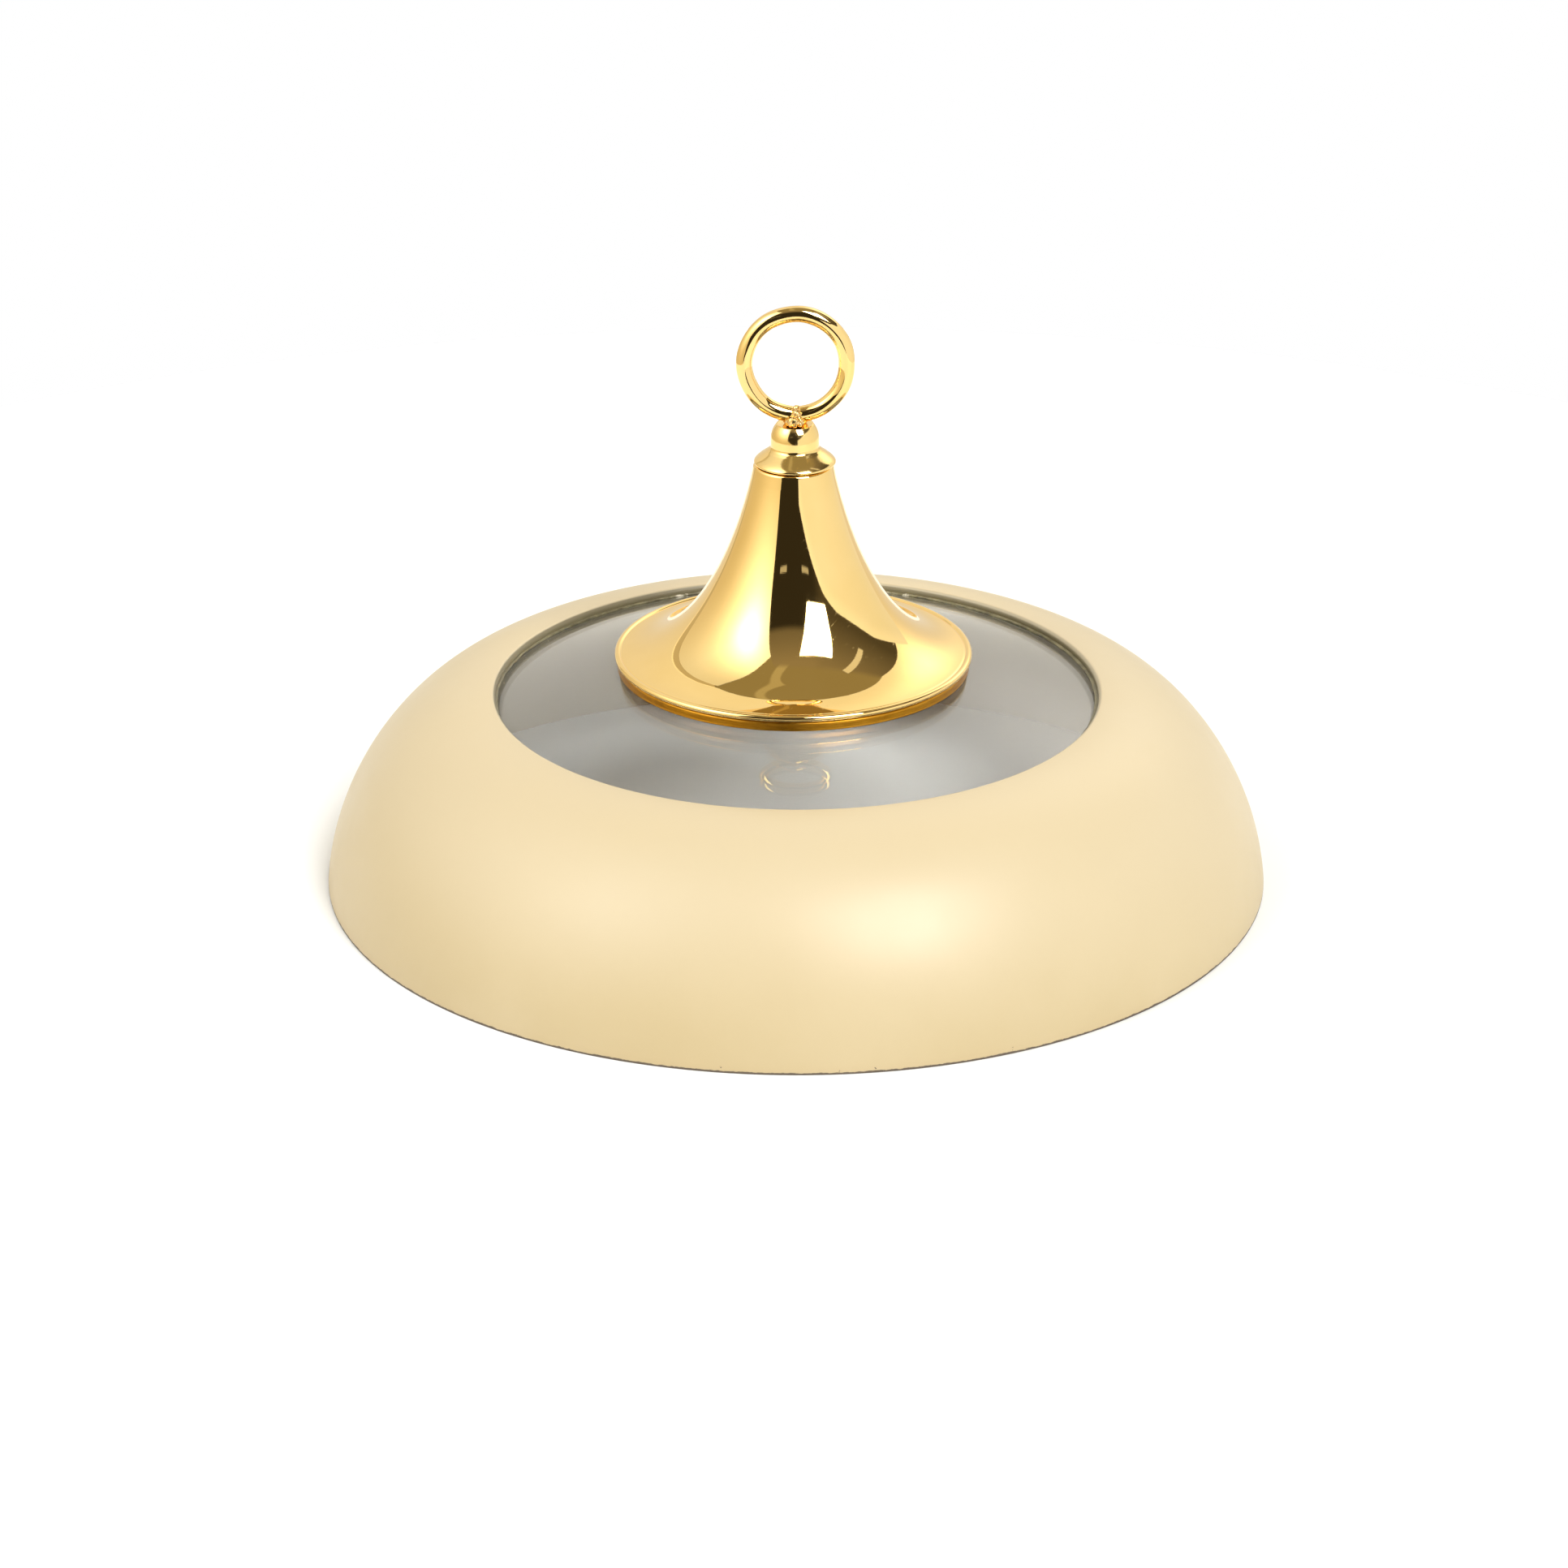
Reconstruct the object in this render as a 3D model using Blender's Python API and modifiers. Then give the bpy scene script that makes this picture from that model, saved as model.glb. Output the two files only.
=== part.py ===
"""Glass cloche: a spun, cream-painted metal ring with a domed glass in its crown and a gold trumpet
handle that carries a finger ring. Everything is turned about Z, +Z is up, and the origin is the
centre of the bottom rim, which stands on Z = 0. Lengths are in metres."""

import math

import bmesh
import bpy

# Gap kept between neighbouring solids.
GAP = 0.0003

# Cream shell: its outer side is one cubic curve from the bottom rim to the crown.
SHELL_RADIUS = 0.150
SHELL_HEIGHT = 0.0626
SHELL_WALL = 0.0012
SHELL_RIM_STRAIGHT = 0.001
SHELL_LOWER_HANDLE = (0.1473, 0.0311)
SHELL_UPPER_HANDLE = (0.1240, SHELL_HEIGHT)
CROWN_RADIUS = 0.0955
LIP_ROLL = 0.0015
LIP_BOTTOM = 0.05995

# Glass dome: a slice of a sphere, with a hole for the rod.
GLASS_SPHERE = 0.290
GLASS_APEX = 0.0758
GLASS_THICKNESS = 0.004
GLASS_RADIUS = 0.104
GLASS_HOLE = 0.005
SPHERE_CENTRE = GLASS_APEX - GLASS_SPHERE

# Sealant bead between lip and glass.
BEAD_INNER = 0.0974
BEAD_OUTER = 0.108
BEAD_FOOT = 0.0515
BEAD_FOOT_WIDTH = 0.0015

# Base cup: a saucer with a short skirt, on a rubber gasket that follows the glass.
CUP_RADIUS = 0.0556
CUP_WALL = 0.0008
CUP_CORNER = 0.0009
CUP_SKIRT_BOTTOM = 0.0709
CUP_SPHERE = 0.29315
GASKET_THICKNESS = CUP_SPHERE - CUP_WALL - GLASS_SPHERE - 2 * GAP
GASKET_INNER = 0.008
GASKET_OUTER = 0.044

# Trumpet handle: one cubic curve from lip to neck.
TRUMPET_RADIUS = 0.0565
TRUMPET_WALL = 0.0008
TRUMPET_LIP_ROLL = 0.001
TRUMPET_BOTTOM = 0.0740
TRUMPET_SHOULDER = 0.0758
TRUMPET_LOWER_HANDLE = (0.03285, 0.0780)
TRUMPET_UPPER_HANDLE = (0.01954, 0.1066)
NECK_START = (0.01332, 0.1340)
NECK_RADIUS = 0.01265
NECK_TOP = 0.1382
NECK_CORNER = 0.0010
NECK_HOLE = 0.0045

# Top cap: a flanged, domed button with a flat seat for the ring.
CAP_BOTTOM = 0.1386
CAP_RADIUS = 0.0128
CAP_EDGE = 0.0009
CAP_NECK_RADIUS = 0.0076
CAP_NECK_BOTTOM = 0.1441
CAP_DOME_CENTRE = 0.1464
CAP_SEAT_HEIGHT = 0.1512

# Pull ring: a bent wire, a little taller than wide, with its ends apart at the bottom.
WIRE_RADIUS = 0.0026
RING_HALF_WIDTH = 0.0160
RING_HALF_HEIGHT = 0.0165
RING_CENTRE = CAP_SEAT_HEIGHT + GAP + WIRE_RADIUS + RING_HALF_HEIGHT
RING_END_ANGLE = math.radians(5)

# M6 fastening through the glass.
ROD_RADIUS = 0.0030
ROD_BOTTOM = 0.0570
ROD_TOP = 0.1485
ROD_BORE = ROD_RADIUS + GAP
BUSH_RADIUS = 0.0046
BUSH_BOTTOM = 0.0718
BUSH_TOP = 0.0772
COLLAR_RADIUS = 0.0114
COLLAR_SMALL_RADIUS = 0.0070
COLLAR_TOP = NECK_TOP - TRUMPET_WALL - GAP
COLLAR_BOTTOM = 0.1240
UNDER_GASKET = {"outer": 0.0130, "top": 0.0712, "thickness": 0.0020}
UNDER_WASHER = {"outer": 0.0125, "thickness": 0.00125}
LOCK_WASHER = {"outer": 0.0056, "thickness": 0.0016, "slit": 0.0012}
NUT_ACROSS_FLATS = 0.010
NUT_HEX_HEIGHT = 0.0050
NUT_DOME_RADIUS = 0.00475
NUT_HEIGHT = 0.0120
NUT_BORE_DEPTH = 0.0092

# Facets round the axis.
LARGE_FACETS = 48
MIDDLE_FACETS = 32
SMALL_FACETS = 16


# ---------------------------------------------------------------- profiles, as (radius, height)

def arc(centre, radius, start, end, steps):
    """Points on a circle, from one angle in degrees to another."""
    points = []
    for i in range(steps + 1):
        angle = math.radians(start + (end - start) * i / steps)
        points.append((centre[0] + radius * math.cos(angle), centre[1] + radius * math.sin(angle)))
    return points


def bezier(a, b, c, d, steps):
    """Points on a cubic curve with ends a and d and handles b and c."""
    points = []
    for i in range(steps + 1):
        t = i / steps
        weights = ((1 - t) ** 3, 3 * t * (1 - t) ** 2, 3 * t * t * (1 - t), t ** 3)
        points.append(tuple(sum(w * p[k] for w, p in zip(weights, (a, b, c, d))) for k in (0, 1)))
    return points


def sphere_height(sphere, radius):
    """Height of a sphere about the glass's centre of curvature, at this distance from the axis."""
    return SPHERE_CENTRE + math.sqrt(sphere ** 2 - radius ** 2)


def cap_of_sphere(sphere, inner, outer, steps):
    """Points along that sphere from one radius out to another."""
    radii = [inner + (outer - inner) * i / steps for i in range(steps + 1)]
    return [(r, sphere_height(sphere, r)) for r in radii]


def shell_profile():
    """From the lip's lower edge, up over the rolled lip, then down the outer side to the rim."""
    roll_centre = (CROWN_RADIUS + LIP_ROLL, SHELL_HEIGHT - LIP_ROLL)
    lip = [(CROWN_RADIUS, LIP_BOTTOM)] + arc(roll_centre, LIP_ROLL, 180, 90, 3)
    rim_top = (SHELL_RADIUS, SHELL_RIM_STRAIGHT)
    side = bezier(lip[-1], SHELL_UPPER_HANDLE, SHELL_LOWER_HANDLE, rim_top, 11)
    return lip + side[1:] + [(SHELL_RADIUS, 0.0)]


def shell_underside(clearance):
    """The crown's inner face, lowered by a clearance, from the lip out to the sealant's edge."""
    drop = SHELL_WALL + clearance
    points = []
    for radius, height in shell_profile():
        if BEAD_INNER < radius < BEAD_OUTER:
            points.append((radius, height - drop))
    return points


def trumpet_profile():
    """From the hole in the neck's flat top, out and down the flare to the lip."""
    corner_centre = (NECK_RADIUS - NECK_CORNER, NECK_TOP - NECK_CORNER)
    top = [(NECK_HOLE, NECK_TOP)] + arc(corner_centre, NECK_CORNER, 90, 0, 2)
    shoulder = (TRUMPET_RADIUS - TRUMPET_LIP_ROLL, TRUMPET_SHOULDER)
    flare = bezier(NECK_START, TRUMPET_UPPER_HANDLE, TRUMPET_LOWER_HANDLE, shoulder, 14)
    lip_centre = (shoulder[0], TRUMPET_SHOULDER - TRUMPET_LIP_ROLL)
    lip = arc(lip_centre, TRUMPET_LIP_ROLL, 90, 0, 3)
    return top + flare + lip[1:] + [(TRUMPET_RADIUS, TRUMPET_BOTTOM)]


def cup_profile():
    """From the rod's hole, out along the saucer and down its skirt."""
    corner_radius = CUP_RADIUS - CUP_CORNER
    corner_centre = (corner_radius, sphere_height(CUP_SPHERE, corner_radius) - CUP_CORNER)
    saucer = cap_of_sphere(CUP_SPHERE, ROD_BORE, corner_radius - CUP_CORNER / 2, 4)
    return saucer + arc(corner_centre, CUP_CORNER, 78, 0, 3) + [(CUP_RADIUS, CUP_SKIRT_BOTTOM)]


def bead_profile():
    """Closed outline that fills the space between the lip and the glass, with a fillet outside."""
    top = [(BEAD_INNER, SHELL_HEIGHT - SHELL_WALL - 2 * GAP)] + shell_underside(2 * GAP)
    edge = GLASS_RADIUS + GAP
    foot = (edge + BEAD_FOOT_WIDTH, BEAD_FOOT)
    fillet = bezier(top[-1], (BEAD_OUTER, 0.0575), (foot[0] + 0.0003, 0.0560), foot, 4)
    under = cap_of_sphere(GLASS_SPHERE + GAP, edge, BEAD_INNER, 4)
    return top + fillet[1:] + [(edge, BEAD_FOOT)] + under


def cap_profile():
    """From the middle of the seat, down the dome, neck and flange, back in and up the blind bore."""
    seat_radius = math.sqrt(CAP_NECK_RADIUS ** 2 - (CAP_SEAT_HEIGHT - CAP_DOME_CENTRE) ** 2)
    seat_angle = math.degrees(math.acos(seat_radius / CAP_NECK_RADIUS))
    dome = arc((0.0, CAP_DOME_CENTRE), CAP_NECK_RADIUS, seat_angle, 0, 5)
    fillet = [(CAP_NECK_RADIUS, CAP_NECK_BOTTOM), (CAP_NECK_RADIUS + 0.0005, CAP_NECK_BOTTOM - 0.0008)]
    edge_centre = (CAP_RADIUS - CAP_EDGE, CAP_BOTTOM + CAP_EDGE)
    edge = arc(edge_centre, CAP_EDGE, 50, -90, 5)
    bore = [(ROD_BORE, CAP_BOTTOM), (ROD_BORE, ROD_TOP + GAP), (0.0, ROD_TOP + GAP)]
    return [(0.0, CAP_SEAT_HEIGHT)] + dome + fillet + edge + bore


def tube_profile(outer, inner, top, bottom, chamfer):
    """Closed outline of a plain sleeve or washer with its outer edges broken."""
    return [
        (inner, top),
        (outer - chamfer, top),
        (outer, top - chamfer),
        (outer, bottom + chamfer),
        (outer - chamfer, bottom),
        (inner, bottom),
    ]


def collar_profile():
    """Closed outline of the plug in the trumpet's neck: straight, then tapering down."""
    taper_top = COLLAR_TOP - 0.006
    return [
        (ROD_BORE, COLLAR_TOP),
        (COLLAR_RADIUS - 0.0005, COLLAR_TOP),
        (COLLAR_RADIUS, COLLAR_TOP - 0.0005),
        (COLLAR_RADIUS, taper_top),
        (COLLAR_SMALL_RADIUS, COLLAR_BOTTOM + 0.001),
        (COLLAR_SMALL_RADIUS, COLLAR_BOTTOM),
        (ROD_BORE, COLLAR_BOTTOM),
    ]


def rod_profile():
    """From the top end's middle down the rod to its lower end's middle, with chamfered ends."""
    chamfer = 0.0006
    return [
        (0.0, ROD_TOP),
        (ROD_RADIUS - chamfer, ROD_TOP),
        (ROD_RADIUS, ROD_TOP - chamfer),
        (ROD_RADIUS, ROD_BOTTOM + chamfer),
        (ROD_RADIUS - chamfer, ROD_BOTTOM),
        (0.0, ROD_BOTTOM),
    ]


# ---------------------------------------------------------------- scene helpers

def clear_scene():
    for obj in list(bpy.data.objects):
        bpy.data.objects.remove(obj)


def new_collection(name):
    collection = bpy.data.collections.new(name)
    bpy.context.scene.collection.children.link(collection)
    return collection


def material(name, colour, roughness, metallic=0.0, transmission=0.0):
    made = bpy.data.materials.new(name)
    made.use_nodes = True
    shader = made.node_tree.nodes["Principled BSDF"]
    shader.inputs["Base Color"].default_value = (*colour, 1.0)
    shader.inputs["Roughness"].default_value = roughness
    shader.inputs["Metallic"].default_value = metallic
    shader.inputs["Transmission Weight"].default_value = transmission
    return made


def add_object(name, data, collection, finish=None):
    obj = bpy.data.objects.new(name, data)
    collection.objects.link(obj)
    if finish is not None:
        data.materials.append(finish)
        obj.parent = frame
    return obj


def profile_mesh(name, profile, closed):
    """An edge-only mesh of the profile, in the XZ plane on the +X side."""
    mesh = bpy.data.meshes.new(name)
    count = len(profile)
    edges = [(i, i + 1) for i in range(count - 1)]
    if closed:
        edges.append((count - 1, 0))
    mesh.from_pydata([(r, 0.0, z) for r, z in profile], edges, [])
    return mesh


def add_screw(obj, facets):
    screw = obj.modifiers.new("turn", "SCREW")
    screw.axis = "Z"
    screw.angle = 2 * math.pi
    screw.steps = facets
    screw.render_steps = facets
    screw.use_merge_vertices = True
    screw.merge_threshold = 0.00001
    screw.use_smooth_shade = True


def turned(name, profile, finish, facets, closed=True):
    """A turned solid. An open profile has both its ends on the axis."""
    obj = add_object(name, profile_mesh(name, profile, closed), parts, finish)
    add_screw(obj, facets)
    return obj


def turned_sheet(name, profile, wall, finish, facets):
    """A turned sheet: its outer face is the open profile, and its wall is inside that."""
    obj = add_object(name, profile_mesh(name, profile, closed=False), parts, finish)
    add_screw(obj, facets)
    thicken = obj.modifiers.new("wall", "SOLIDIFY")
    thicken.thickness = wall
    thicken.offset = -1
    thicken.use_even_offset = True
    return obj


def bmesh_object(name, build, collection, finish=None):
    """An object whose mesh is made by a function that fills a bmesh."""
    mesh = bpy.data.meshes.new(name)
    shape = bmesh.new()
    build(shape)
    shape.to_mesh(mesh)
    shape.free()
    return add_object(name, mesh, collection, finish)


def cutter(name, build):
    obj = bmesh_object(name, build, cutters)
    obj.hide_render = True
    obj.display_type = "WIRE"
    return obj


def boolean(obj, operation, other):
    modifier = obj.modifiers.new(other.name, "BOOLEAN")
    modifier.operation = operation
    modifier.object = other


def box_builder(size, centre):
    def build(shape):
        bmesh.ops.create_cube(shape, size=1.0)
        bmesh.ops.scale(shape, vec=size, verts=shape.verts)
        bmesh.ops.translate(shape, vec=centre, verts=shape.verts)
    return build


def lump_builder(radius, stretch, centre):
    def build(shape):
        bmesh.ops.create_icosphere(shape, subdivisions=2, radius=radius)
        bmesh.ops.scale(shape, vec=stretch, verts=shape.verts)
        bmesh.ops.translate(shape, vec=centre, verts=shape.verts)
    return build


def cylinder_builder(radius, bottom, top, facets):
    def build(shape):
        bmesh.ops.create_cone(
            shape, cap_ends=True, segments=facets, radius1=radius, radius2=radius, depth=top - bottom
        )
        bmesh.ops.translate(shape, vec=(0.0, 0.0, (bottom + top) / 2), verts=shape.verts)
    return build


# ---------------------------------------------------------------- pieces that are not simply turned

def ring_points(end_angle, count):
    """Points round the ring's centre line, from one wire end to the other, in the XZ plane."""
    points = []
    for i in range(count):
        angle = end_angle + (2 * math.pi - 2 * end_angle) * i / (count - 1)
        points.append((RING_HALF_WIDTH * math.sin(angle), 0.0, -RING_HALF_HEIGHT * math.cos(angle)))
    return points


def wire_curve(name, wire_radius, end_angle, collection, finish=None):
    curve = bpy.data.curves.new(name, "CURVE")
    curve.dimensions = "3D"
    curve.bevel_depth = wire_radius
    curve.bevel_resolution = 3
    curve.use_fill_caps = True
    points = ring_points(end_angle, 49)
    spline = curve.splines.new("POLY")
    spline.points.add(len(points) - 1)
    for point, place in zip(spline.points, points):
        point.co = (*place, 1.0)
    obj = add_object(name, curve, collection, finish)
    obj.location = (0.0, 0.0, RING_CENTRE)
    return obj


def mesh_from_curve(curve_object, name, collection):
    """The curve object as a closed mesh object in the same place. The curve is removed."""
    bpy.context.view_layer.update()
    graph = bpy.context.evaluated_depsgraph_get()
    mesh = bpy.data.meshes.new_from_object(curve_object.evaluated_get(graph))
    shape = bmesh.new()
    shape.from_mesh(mesh)
    bmesh.ops.remove_doubles(shape, verts=shape.verts, dist=0.00001)
    shape.to_mesh(mesh)
    shape.free()
    obj = add_object(name, mesh, collection)
    obj.matrix_world = curve_object.matrix_world
    bpy.data.objects.remove(curve_object)
    return obj


def make_pull_ring():
    return wire_curve("pull_ring", WIRE_RADIUS, RING_END_ANGLE, parts, gold_polished)


def make_braze_bead():
    """Lumps that fill the gap between the wire ends and spill in front and behind, kept clear of both."""
    joint_height = CAP_SEAT_HEIGHT + GAP + WIRE_RADIUS
    core = lump_builder(0.0030, (1.0, 1.0, 0.95), (0.0, 0.0, joint_height + 0.0002))
    bead = bmesh_object("braze_bead", core, parts, braze_gold)
    spills = (
        ("front_spill", 0.0023, (1.05, 1.0, 1.0), (-0.0006, -0.0030, joint_height - 0.0008)),
        ("back_spill", 0.0018, (1.2, 1.0, 1.0), (0.0005, 0.0028, joint_height - 0.0010)),
    )
    for name, radius, stretch, centre in spills:
        boolean(bead, "UNION", cutter(name, lump_builder(radius, stretch, centre)))
    wire = wire_curve("wire_clearance", WIRE_RADIUS + GAP, RING_END_ANGLE * 0.75, cutters)
    clearance = mesh_from_curve(wire, "wire_clearance_mesh", cutters)
    clearance.hide_render = True
    clearance.display_type = "WIRE"
    boolean(bead, "DIFFERENCE", clearance)
    floor_centre = (0.0, 0.0, CAP_SEAT_HEIGHT + GAP - 0.005)
    boolean(bead, "DIFFERENCE", cutter("seat_clearance", box_builder((0.03, 0.03, 0.01), floor_centre)))
    return bead


def make_lock_washer(top):
    """A spring washer, with the slit through one side."""
    bottom = top - LOCK_WASHER["thickness"]
    outline = tube_profile(LOCK_WASHER["outer"], ROD_BORE, top, bottom, 0.0001)
    washer = turned("lock_washer", outline, zinc_steel, SMALL_FACETS)
    slit_size = (0.006, LOCK_WASHER["slit"], 0.006)
    slit = cutter("washer_slit", box_builder(slit_size, (0.005, 0.0, (top + bottom) / 2)))
    slit.rotation_euler = (0.0, 0.0, math.radians(52))
    boolean(washer, "DIFFERENCE", slit)
    return bottom


def make_cap_nut(top):
    """A domed nut, dome down: a hexagon joined to a turned dome, with a blind bore from above."""
    corner_radius = NUT_ACROSS_FLATS / 2 / math.cos(math.pi / 6)
    hexagon = cylinder_builder(corner_radius, top - NUT_HEX_HEIGHT, top, 6)
    nut = bmesh_object("cap_nut", hexagon, parts, zinc_steel)
    dome_centre = top - NUT_HEIGHT + NUT_DOME_RADIUS
    dome = bmesh_object("nut_dome", cylinder_builder(NUT_DOME_RADIUS, dome_centre, top - 0.001, 24), cutters)
    ball = bmesh_object("nut_ball", lump_builder(NUT_DOME_RADIUS, (1, 1, 1), (0, 0, dome_centre)), cutters)
    bore = cutter("nut_bore", cylinder_builder(ROD_BORE, top - NUT_BORE_DEPTH, top + 0.001, 24))
    for helper in (dome, ball):
        helper.hide_render = True
        helper.display_type = "WIRE"
        boolean(nut, "UNION", helper)
    boolean(nut, "DIFFERENCE", bore)
    return nut


def make_fastening():
    """The stack under the glass, each piece a gap below the one above it."""
    top = UNDER_GASKET["top"]
    bottom = top - UNDER_GASKET["thickness"]
    turned("under_gasket", tube_profile(UNDER_GASKET["outer"], ROD_BORE, top, bottom, 0.0002),
           black_rubber, SMALL_FACETS)
    top = bottom - GAP
    bottom = top - UNDER_WASHER["thickness"]
    turned("under_washer", tube_profile(UNDER_WASHER["outer"], ROD_BORE, top, bottom, 0.0002),
           zinc_steel, SMALL_FACETS)
    bottom = make_lock_washer(bottom - GAP)
    make_cap_nut(bottom - GAP)


# ---------------------------------------------------------------- the cloche

clear_scene()
parts = new_collection("glass_cloche")
cutters = new_collection("cutters")
frame = bpy.data.objects.new("cloche_frame", None)
parts.objects.link(frame)

cream_paint = material("cream_paint", (0.86, 0.70, 0.42), 0.38)
clear_glass = material("clear_glass", (0.93, 0.97, 0.95), 0.02, transmission=1.0)
gold_polished = material("gold_polished", (0.95, 0.68, 0.27), 0.06, metallic=1.0)
gold_satin = material("gold_satin", (0.72, 0.52, 0.20), 0.30, metallic=1.0)
braze_gold = material("braze_gold", (0.93, 0.70, 0.34), 0.16, metallic=1.0)
clear_silicone = material("clear_silicone", (0.62, 0.58, 0.50), 0.35)
black_rubber = material("black_rubber", (0.03, 0.03, 0.03), 0.75)
white_nylon = material("white_nylon", (0.82, 0.81, 0.77), 0.45)
zinc_steel = material("zinc_steel", (0.62, 0.63, 0.64), 0.30, metallic=1.0)

turned_sheet("cream_shell", shell_profile(), SHELL_WALL, cream_paint, LARGE_FACETS)
turned_sheet("glass_dome", cap_of_sphere(GLASS_SPHERE, GLASS_HOLE, GLASS_RADIUS, 8),
             GLASS_THICKNESS, clear_glass, LARGE_FACETS)
turned("sealant_bead", bead_profile(), clear_silicone, LARGE_FACETS)
turned_sheet("trumpet_handle", trumpet_profile(), TRUMPET_WALL, gold_polished, MIDDLE_FACETS)
turned_sheet("base_cup", cup_profile(), CUP_WALL, gold_satin, MIDDLE_FACETS)
turned_sheet("base_gasket", cap_of_sphere(CUP_SPHERE - CUP_WALL - GAP, GASKET_INNER, GASKET_OUTER, 3),
             GASKET_THICKNESS, black_rubber, MIDDLE_FACETS)
turned("top_cap", cap_profile(), gold_polished, MIDDLE_FACETS, closed=False)
make_pull_ring()
make_braze_bead()
turned("threaded_rod", rod_profile(), zinc_steel, SMALL_FACETS, closed=False)
turned("neck_collar", collar_profile(), white_nylon, MIDDLE_FACETS)
turned("glass_bush", tube_profile(BUSH_RADIUS, ROD_BORE, BUSH_TOP, BUSH_BOTTOM, 0.0003),
       white_nylon, SMALL_FACETS)
make_fastening()
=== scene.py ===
"""Looks of the glass cloche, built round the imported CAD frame. Outlines are in millimetres as
(radius, height), turned about Z, and every piece is then scaled to metres."""

import math
from collections import namedtuple

import bmesh
import bpy
import numpy as np
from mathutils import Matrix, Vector, noise


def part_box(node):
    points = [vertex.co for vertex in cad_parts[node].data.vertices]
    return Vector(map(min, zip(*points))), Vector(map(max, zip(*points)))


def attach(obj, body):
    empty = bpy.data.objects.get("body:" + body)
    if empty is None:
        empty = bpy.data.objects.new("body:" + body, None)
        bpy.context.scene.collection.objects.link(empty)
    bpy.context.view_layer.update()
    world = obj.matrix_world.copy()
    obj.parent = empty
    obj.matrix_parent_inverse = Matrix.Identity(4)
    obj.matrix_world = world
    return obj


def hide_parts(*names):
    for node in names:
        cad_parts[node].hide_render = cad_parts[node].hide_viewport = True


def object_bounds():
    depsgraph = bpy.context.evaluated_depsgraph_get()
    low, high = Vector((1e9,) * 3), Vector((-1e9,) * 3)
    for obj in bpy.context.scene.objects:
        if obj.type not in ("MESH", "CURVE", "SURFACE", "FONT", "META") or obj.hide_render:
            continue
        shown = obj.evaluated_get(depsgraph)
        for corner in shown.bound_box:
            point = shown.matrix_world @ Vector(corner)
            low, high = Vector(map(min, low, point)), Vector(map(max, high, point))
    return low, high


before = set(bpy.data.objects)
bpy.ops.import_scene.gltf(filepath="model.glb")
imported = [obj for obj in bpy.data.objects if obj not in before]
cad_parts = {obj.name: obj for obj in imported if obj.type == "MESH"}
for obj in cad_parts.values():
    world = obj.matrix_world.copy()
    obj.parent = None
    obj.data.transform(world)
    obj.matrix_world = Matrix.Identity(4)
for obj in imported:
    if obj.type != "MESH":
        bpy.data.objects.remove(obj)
cad_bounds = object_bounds()

MM = 0.001


# ---------------------------------------------------------------- sizes from the CAD frame

class Size(namedtuple("Size", "radius foot top")):
    """Outer radius, lowest height and highest height of a piece."""

    def low(self, inset, rise):
        """The point this far in from the outer radius and this far above the foot."""
        return (self.radius - inset, self.foot + rise)

    def high(self, inset, drop):
        """The point this far in from the outer radius and this far below the top."""
        return (self.radius - inset, self.top - drop)


def size_of(node):
    """Size of a CAD node in millimetres."""
    low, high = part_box(node)
    return Size(high.x / MM, low.z / MM, high.z / MM)


SHELL = size_of("cream_shell")
GLASS = size_of("glass_dome")
BEAD = size_of("sealant_bead")
TRUMPET = size_of("trumpet_handle")
CUP = size_of("base_cup")
PAD = size_of("base_gasket")
CAP = size_of("top_cap")
RING = size_of("pull_ring")
ROD = size_of("threaded_rod")
COLLAR = size_of("neck_collar")
BUSH = size_of("glass_bush")
GASKET = size_of("under_gasket")
WASHER = size_of("under_washer")
SPRING = size_of("lock_washer")
NUT = size_of("cap_nut")

# Walls and curves, the same as in the CAD part.
SHELL_WALL = 1.2
CROWN_INSET = 54.5
CROWN_RADIUS = SHELL.radius - CROWN_INSET
GLASS_THICKNESS = 4.0
GLASS_HOLE = 5.0
GLASS_SPHERE = 290.0
GLASS_CENTRE = GLASS.top + 0.04 - GLASS_SPHERE
CUP_SPHERE = 293.15
PAD_TOP_SPHERE = 292.05
PAD_UNDER_SPHERE = 290.3
SHEET_WALL = 0.8
ROD_BORE = ROD.radius + 0.3
WIRE_RADIUS = 2.6

# Points along the shell's side, which the silicone follows, and round one softened corner.
SIDE_STEPS = 110
CORNER_STEPS = 5

# How far each piece sits off the axis along X, within the play between it and its neighbours.
SIDE_PLAY = {
    "trumpet": -0.9,
    "cup": -0.9,
    "cap": -0.45,
    "ring": -0.2,
    "rod": -0.6,
    "collar": -0.7,
    "bush": -0.33,
}

# Facets round the axis of large, middling, small and thin pieces.
LARGE = 384
MIDDLE = 256
SMALL = 96
THIN = 40


# ---------------------------------------------------------------- outlines

def bezier(a, b, c, d, steps):
    """Points on a cubic curve with ends a and d and handles b and c."""
    points = []
    for i in range(steps + 1):
        t = i / steps
        weights = ((1 - t) ** 3, 3 * t * (1 - t) ** 2, 3 * t * t * (1 - t), t ** 3)
        points.append(tuple(sum(w * p[k] for w, p in zip(weights, (a, b, c, d))) for k in (0, 1)))
    return points


def arc(centre, radius, start, end, steps):
    """Points on a circle, from one angle in degrees to another."""
    points = []
    for i in range(steps + 1):
        angle = math.radians(start + (end - start) * i / steps)
        points.append((centre[0] + radius * math.cos(angle), centre[1] + radius * math.sin(angle)))
    return points


def dome_height(sphere, radius):
    """Height of a sphere about the glass's centre of curvature, at this distance from the axis."""
    return GLASS_CENTRE + math.sqrt(sphere ** 2 - radius ** 2)


def dome_line(sphere, start, end, steps):
    """Points along that sphere from one radius to another."""
    radii = [start + (end - start) * i / steps for i in range(steps + 1)]
    return [(r, dome_height(sphere, r)) for r in radii]


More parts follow.
